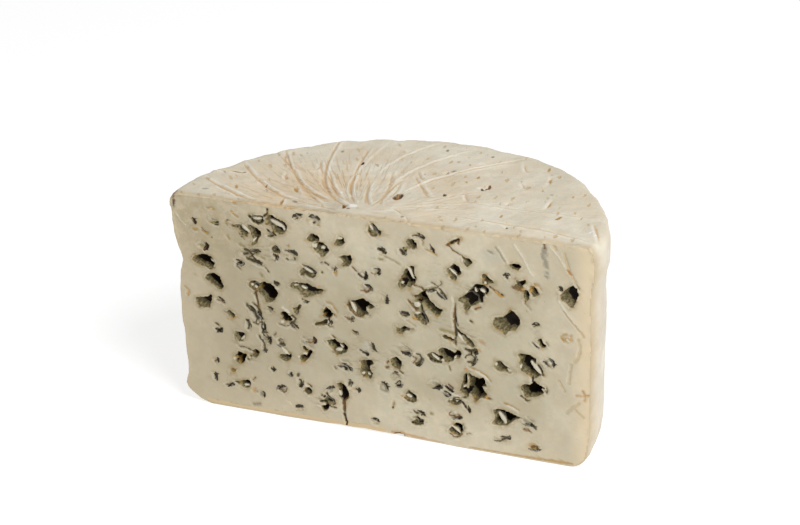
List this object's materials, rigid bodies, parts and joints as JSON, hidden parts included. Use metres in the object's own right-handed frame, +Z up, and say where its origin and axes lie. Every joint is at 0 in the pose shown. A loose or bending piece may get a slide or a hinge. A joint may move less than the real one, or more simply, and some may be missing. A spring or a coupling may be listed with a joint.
{
  "type": "blue cheese half wheel",
  "caption": "Upright half wheel of blue cheese resting on its flat base, with a pale rind, a cut face open in many mould-lined caves, and needle holes that the cut has laid bare.",
  "frame": {"origin": "middle of the box round the half wheel, at the height of the base it rests on", "axes": "+X along the cut, +Y from the cut face towards the round back, +Z up"},
  "size_m": [0.193, 0.0964, 0.1022],
  "materials": {
    "cheese": "moist, slightly waxy paste with blue-grey mould in its caves"
  },
  "bodies": {
    "root": {"cheese": "cheese"}
  },
  "joints": []
}
